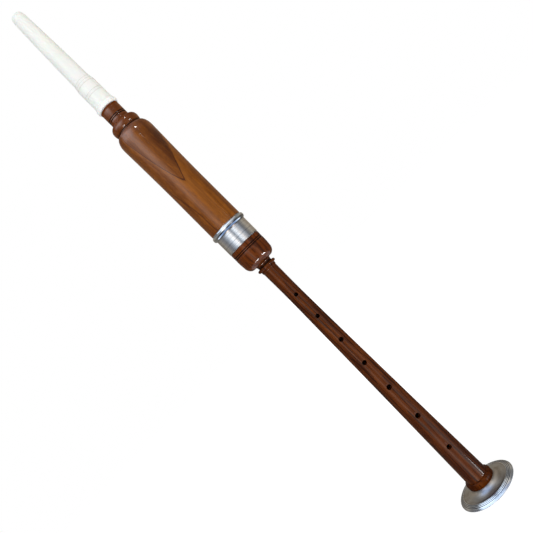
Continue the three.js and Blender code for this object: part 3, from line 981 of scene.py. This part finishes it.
# Under the bead, on the front, the metal is painted dark blue, painted shade and painted reflection.
shade_by_bead = mask(z, ferrule_bead_low - 0.5, ferrule_bead_low) * mask(z, bead_middle + 0.2, bead_middle - 0.5)
front_shade_mask = mask(abs(turn_of(x, y) + 6), 50, 24)
colour = lay(
    blend(mask(marks["Rings"], 0.38, 0.62), tint(188, 197, 206), tint(228, 234, 240)),
    (shade_by_bead * front_shade_mask * 0.85, 72, 104, 146),
    (mask(clouds, 0.55, 0.8) * 0.5, 196, 192, 186))
finish(shader, colour, marks["Rings"] * 0.14 + 0.04, marks["Rings"], 0.012)
mount(ferrule, ferrule_metal, "barrel", "ferrule_metal", "ferrule")

# Mouthpiece lapping
# Waxed hemp on the barrel's upper tenon, wound like that on the stick's tenon. The mouthpiece
# pushes on it.
mouth_lapping = wound("mouthpiece_lapping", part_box("mouthpiece_lapping"), 0.6, 0.42, 56)
mount(mouth_lapping, waxed_hemp, "mouthpiece_lapping", "waxed_hemp", "mouthpiece_lapping")

# Mouthpiece
# A tube of off-white plastic, turned with a rounded lip over the neck, a cuff with scribed rings
# and fine combing for grip, a step and a long taper to the rounded tip. It is bored through.
piece_low, piece_high = (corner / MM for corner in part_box("mouthpiece"))
piece_high.z -= 0.001  # the rounding of the numbers would take it out of the solid's box
lip_radius = piece_high.x
lip_round = 1.4
lip_flare = 3.2
cuff_radius = 7.83
cuff_length = 22.5
step_length = 6.0
stem_radius = 6.85
nose_radius = 5.27
stem_power = 1.4
tip_round = 5.6
mouth_bore = 2.1
tip_flat = 1.0
socket_radius = 5.7
socket_top = barrel_high.z + fit_gap
cuff_rings = (400.9, 403.05)
step_rings = (410.3, 412.4, 414.5)
ring_half = 0.25
ring_depth = 0.14
comb_pitch = 0.75
comb_depth = 0.04
comb_from, comb_to = 396.2, 420.2

lip_crest = piece_low.z + lip_round
cuff_top = piece_low.z + cuff_length
stem_base = cuff_top + step_length
nose_base = piece_high.z - tip_round


def grip_radius(height):
    """The radius on the cuff, the step and the first of the stem."""
    if height < cuff_top:
        return cuff_radius
    if height < stem_base:
        return cuff_radius + (stem_radius - cuff_radius) * (height - cuff_top) / step_length
    share = (height - stem_base) / (nose_base - stem_base)
    return nose_radius + (stem_radius - nose_radius) * (1 - share ** stem_power)


grip_points = []
comb_count = round((comb_to - comb_from) / comb_pitch)
for index in range(comb_count):
    height = comb_from + comb_pitch * index
    near = [ring for ring in cuff_rings + step_rings if abs(ring - height - comb_pitch / 2) <= comb_pitch / 2]
    middle = near[0] if near else height + comb_pitch / 2
    half = ring_half if near else 0.15
    depth = ring_depth if near else comb_depth
    grip_points += [(grip_radius(height), height), (grip_radius(middle - half), middle - half),
                    (grip_radius(middle) - depth, middle), (grip_radius(middle + half), middle + half)]
stem_heights = [comb_to + (nose_base - comb_to) * step / 24 for step in range(1, 25)]
mouthpiece = turned("mouthpiece", [
    (socket_radius, piece_low.z, 0.15),
    *arc((neck_radius + 0.1, piece_low.z), (lip_radius, lip_crest), False, 10),
    *arc((lip_radius, lip_crest), (cuff_radius, lip_crest + lip_flare), True, 10)[1:],
    *grip_points,
    *[(grip_radius(height), height) for height in stem_heights],
    *arc((nose_radius, nose_base), (mouth_bore + tip_flat, piece_high.z), True, 14)[1:],
    (mouth_bore, piece_high.z, 0.3),
    (mouth_bore, socket_top),
    (socket_radius, socket_top),
], 96)
mouthpiece_plastic, tree, shader = new_material("mouthpiece plastic", {
    "Roughness": 0.35, "Specular IOR Level": 0.3, "Subsurface Weight": 0.12, "Subsurface Scale": 0.004})
marks = use_group(tree, lathe_marks, shift=2.0)
place, x, y, z = place_in_mm(tree)
clouds = noise(place, (0.08, 0.08, 0.03), detail=3)
# The lip is painted pure white, a painted highlight.
lip_highlight = mask(z, piece_low.z + 3.9, piece_low.z + 2.9)
colour = lay(
    blend(mask(clouds, 0.3, 0.7), tint(244, 247, 242), tint(249, 250, 247)),
    (marks["Scratches"] * 0.15, 226, 226, 214),
    (in_scribes(z, cuff_rings + step_rings, ring_half, 0.05) * 0.5, 188, 186, 172),
    (lip_highlight, 255, 255, 254))
finish(shader, colour, marks["Rings"] * 0.16 + 0.28, marks["Rings"], 0.01)
mount(mouthpiece, mouthpiece_plastic, "mouthpiece", "mouthpiece_plastic", "mouthpiece")

# Floor
# A pale floor that the sole stands on. It glows a little, so that it is plain white where it is in
# the open and takes a faint shadow close to the sole. Reflections look past it at the surround.
floor_radius = 3000.0
shadow_near, shadow_far = 60, 240


def bare_material(obj):
    """Gives a stage object a material that holds nothing yet, and returns its nodes and output."""
    material = bpy.data.materials.new(obj.name)
    material.use_nodes = True
    tree = material.node_tree
    tree.nodes.remove(tree.nodes["Principled BSDF"])
    obj.data.materials.append(material)
    return tree, tree.nodes["Material Output"]


def seen_plainly(tree):
    """1 for what the camera sees straight, in metal or through glass, and 0 for light on the object."""
    path = outputs_of(put(tree, "LightPath").socket.node)
    return path["Is Camera Ray"] | path["Is Glossy Ray"] | path["Is Transmission Ray"]


floor = circle("floor", floor_radius, 0, 64, "NGON")
floor.visible_glossy = floor.visible_shadow = False
tree, output = bare_material(floor)
seen = seen_plainly(tree)
shade = seen * -0.6 + 0.92
paper = put(tree, "BsdfDiffuse", {"Color": put(tree, "CombineColor", {0: shade, 1: shade, 2: shade})})
away = axis_distance(*place_in_mm(tree)[1:3])
strength = seen * (mask(away, shadow_near, shadow_far) * 0.18 + 0.82)
white = put(tree, "Emission", {"Color": (1, 1, 1, 1), "Strength": strength})
join(output, surface=put(tree, "AddShader", {0: paper, 1: white}))

# Surround
# A tall round card with a lid, for reflections alone. Its glow changes with the azimuth and the
# height, because each part of the chanter mirrors its own band of the card.
surround_radius = 2500.0
surround_low = -4600.0
surround_high = 3200.0
surround_white = 3.0
lower_fall = (-1450, -1700)
metal_rise, barrel_rise = (330, 360), (515, 545)
bright_rise, upper_rise = (650, 1150), (1180, 1500)


def only_reflected(obj, glow_of):
    """Shows a stage object in reflections and nowhere else, with the glow that a function gives."""
    tree, output = bare_material(obj)
    join(output, surface=put(tree, "Emission", {"Color": glow_of(tree), "Strength": surround_white}))
    for ray in ("camera", "diffuse", "transmission", "shadow", "volume_scatter"):
        setattr(obj, "visible_" + ray, False)


def graded(turn, behind, *stops):
    """A glow that goes round the surround from behind through (azimuth, red, green, blue) stops,
    whose colours are in hundredths."""
    glow = put(turn.tree, "ValToRGB", {0: turn * (1 / 360) + 0.5})
    elements = glow.socket.node.color_ramp.elements
    for index, (azimuth, *level) in enumerate([(-180, *behind), (180, *behind), *stops]):
        position = azimuth / 360 + 0.5
        element = elements[index] if index < 2 else elements.new(position)
        element.position = position
        element.color = [value / 100 / surround_white for value in level] + [1]
    return glow


def wall_glow(tree):
    """From low to high: an even grey, two lobes and dark flanks for the stick, bands for the metal,
    a broad lobe on the left for the barrel, and a cooler one for its neck and the mouthpiece."""
    place, x, y, z = place_in_mm(tree)
    turn = turn_of(x, y)
    beside_wood = graded(turn, (25, 22, 18), (-127, 20, 18, 15), (-86, 14, 13, 12), (-57, 10, 9, 8),
        (-44, 30, 26, 22), (-34, 100, 80, 65), (-24, 220, 175, 140), (-15, 80, 64, 55), (-7, 20, 17, 15),
        (8, 15, 13, 11), (18, 70, 56, 48), (28, 160, 120, 95), (38, 60, 45, 38), (52, 10, 9, 8),
        (78, 14, 13, 12), (119, 10, 9, 8))
    beside_metal = graded(turn, (30, 25, 20), (-140, 24, 20, 16), (-115, 40, 34, 28), (-96, 30, 27, 26),
        (-80, 27, 26, 27), (-65, 52, 54, 60), (-51, 95, 98, 105), (-38, 135, 137, 140),
        (-26, 115, 116, 118), (-14, 60, 62, 66), (-4, 42, 46, 52), (6, 140, 143, 148),
        (15, 180, 180, 180), (25, 120, 120, 120), (35, 80, 81, 83), (49, 62, 62, 66), (63, 24, 23, 23),
        (78, 32, 28, 24), (95, 55, 46, 35), (119, 42, 33, 24))
    beside_barrel = graded(turn, (30, 26, 21), (-127, 30, 26, 21), (-86, 25, 25, 25), (-57, 35, 35, 35),
        (-42, 170, 170, 170), (-28, 230, 230, 230), (-14, 125, 120, 115), (4, 50, 48, 45),
        (24, 35, 34, 32), (45, 18, 18, 18), (60, 15, 15, 15), (86, 25, 24, 22), (119, 32, 28, 23))
    above_barrel = graded(turn, (15, 14, 13), (-127, 15, 14, 13), (-86, 14, 14, 15), (-57, 30, 32, 36),
        (-42, 85, 91, 103), (-28, 120, 126, 140), (-14, 75, 80, 90), (4, 50, 53, 60), (24, 55, 58, 62),
        (45, 55, 57, 60), (60, 35, 36, 38), (86, 20, 20, 20), (119, 16, 15, 14))
    level = blend(mask(z, *metal_rise), beside_wood, beside_metal)
    level = blend(mask(z, *barrel_rise), level, beside_barrel)
    level = blend(mask(z, *upper_rise), level, above_barrel)
    level = blend(mask(z, *lower_fall), level, (0.5, 0.52, 0.56, 1))
    return level.scaled(mask(z, *bright_rise) * 0.5 + 1.0)


def lid_glow(tree):
    """A cool lid, dimmer behind and warmer on the right, with a dark band over the middle."""
    place, x, y, z = place_in_mm(tree)
    level = blend(mask(y, 2450, 1700), (0.12, 0.11, 0.1, 1), (0.48, 0.54, 0.61, 1))
    level = blend(mask(x, 600, 1700), level, (0.3, 0.27, 0.23, 1))
    gap = mask(abs(y + 120), 330, 130) * mask(x, -700, -100)
    return blend(gap, level, (0.05, 0.08, 0.16, 1))


wall = circle("surround_wall", surround_radius, surround_low, 180)
draw_out([(1, 1, surround_low), (1, 1, surround_high)])
bpy.ops.object.mode_set(mode="OBJECT")
only_reflected(wall, wall_glow)
only_reflected(circle("surround_lid", surround_radius, surround_high, 180, "NGON"), lid_glow)

# Light
# A tall soft lamp on the left, a wide one on the right and a warm one for the mouthpiece light the
# colours. Lamps for reflections alone each put one spot on the lacquer of one piece.


def hang(light, azimuth, elevation, distance, target):
    """Hangs a lamp in a direction counted from the front, aimed at a height on the axis. Places are
    in millimetres, and the distance is level."""
    side, rise = math.radians(azimuth), math.radians(elevation)
    aim = Vector((math.sin(side), -math.cos(side), math.tan(rise)))
    obj = bpy.data.objects.new(light.name, light)
    bpy.context.scene.collection.objects.link(obj)
    obj.location = (Vector((0, 0, target)) + aim * distance) * MM
    obj.rotation_euler = aim.to_track_quat("Z", "Y").to_euler()
    obj.visible_camera = False
    return obj


def panel(name, width, height, radiance, colour=(1, 1, 1)):
    """A flat lamp of a size in millimetres."""
    light = bpy.data.lights.new(name, "AREA")
    light.shape, light.size, light.size_y = "RECTANGLE", width * MM, height * MM
    light.color, light.energy = colour, radiance * math.pi * width * height * MM * MM
    return light


def light_only(lamp, piece):
    """Leaves a lamp's light to one piece."""
    receivers = bpy.data.collections.new(lamp.name)
    receivers.objects.link(piece)
    lamp.light_linking.receiver_collection = receivers


key = hang(panel("key_lamp", 320, 900, 2.65, (0.95, 0.98, 1.0)), -36, 8, 900, 300)
fill = hang(panel("fill_lamp", 600, 900, 1.0, (1.0, 0.975, 0.93)), 28, 10, 1000, 300)
warm = hang(panel("mouthpiece_lamp", 400, 400, 1.4, (1.0, 0.86, 0.6)), 80, 5, 700, 430)
key.visible_glossy = fill.visible_glossy = warm.visible_glossy = False
light_only(warm, mouthpiece)

# The broad sheen on the barrel's shoulder comes from a card that fades towards its edges.
card = panel("shoulder_card", 2400, 1500, 5.6, (1.0, 0.95, 0.97))
card.use_nodes = True
x, y, z = parts_of(put(card.node_tree, "NewGeometry", output="Parametric"))
fade = mask(abs(x - 0.5), 0.5, 0.1) * mask(abs(y - 0.5), 0.5, 0.1)
join(card.node_tree.nodes["Emission"], strength=fade)

# Each piece, then the name, azimuth, elevation, distance, target height, width, height and radiance
# of one lamp.
spots = (
    (barrel, "shoulder_lamp", 34.3, 36.9, 700, 360, 110, 95, 80),
    (barrel, "body_lamp", 19.3, 15.35, 600, 352, 45, 3, 22),
    (barrel, "neck_lamp", 33.1, 20.0, 600, 376, 60, 5, 18),
    (barrel, "bead_lamp_right", 46.9, -2.0, 2000, 368, 480, 260, 28),
    (barrel, "bead_lamp_left", -15.4, -14.7, 400, 367.5, 110, 50, 28),
    (stick, "cup_lamp_right", 44.0, -33.5, 2400, 233.7, 1300, 210, 120),
    (stick, "cup_lamp_left", -26.9, -41.0, 1500, 233.4, 950, 280, 55),
    (stick, "foot_lamp", 54, -24.8, 1000, 14, 60, 60, 32))
glints = [(barrel, hang(card, -44, 40, 850, 360))]
for piece, name, azimuth, elevation, distance, target, width, height, radiance in spots:
    glints.append((piece, hang(panel(name, width, height, radiance), azimuth, elevation, distance, target)))
for piece, lamp in glints:
    lamp.visible_diffuse = False
    light_only(lamp, piece)

world = bpy.data.worlds.new("surround")
bpy.context.scene.world = world
world.use_nodes = True
background = world.node_tree.nodes["Background"]
background.inputs["Color"].default_value = (1, 1, 1, 1)
join(background, strength=seen_plainly(world.node_tree) * 0.4 + 0.6)
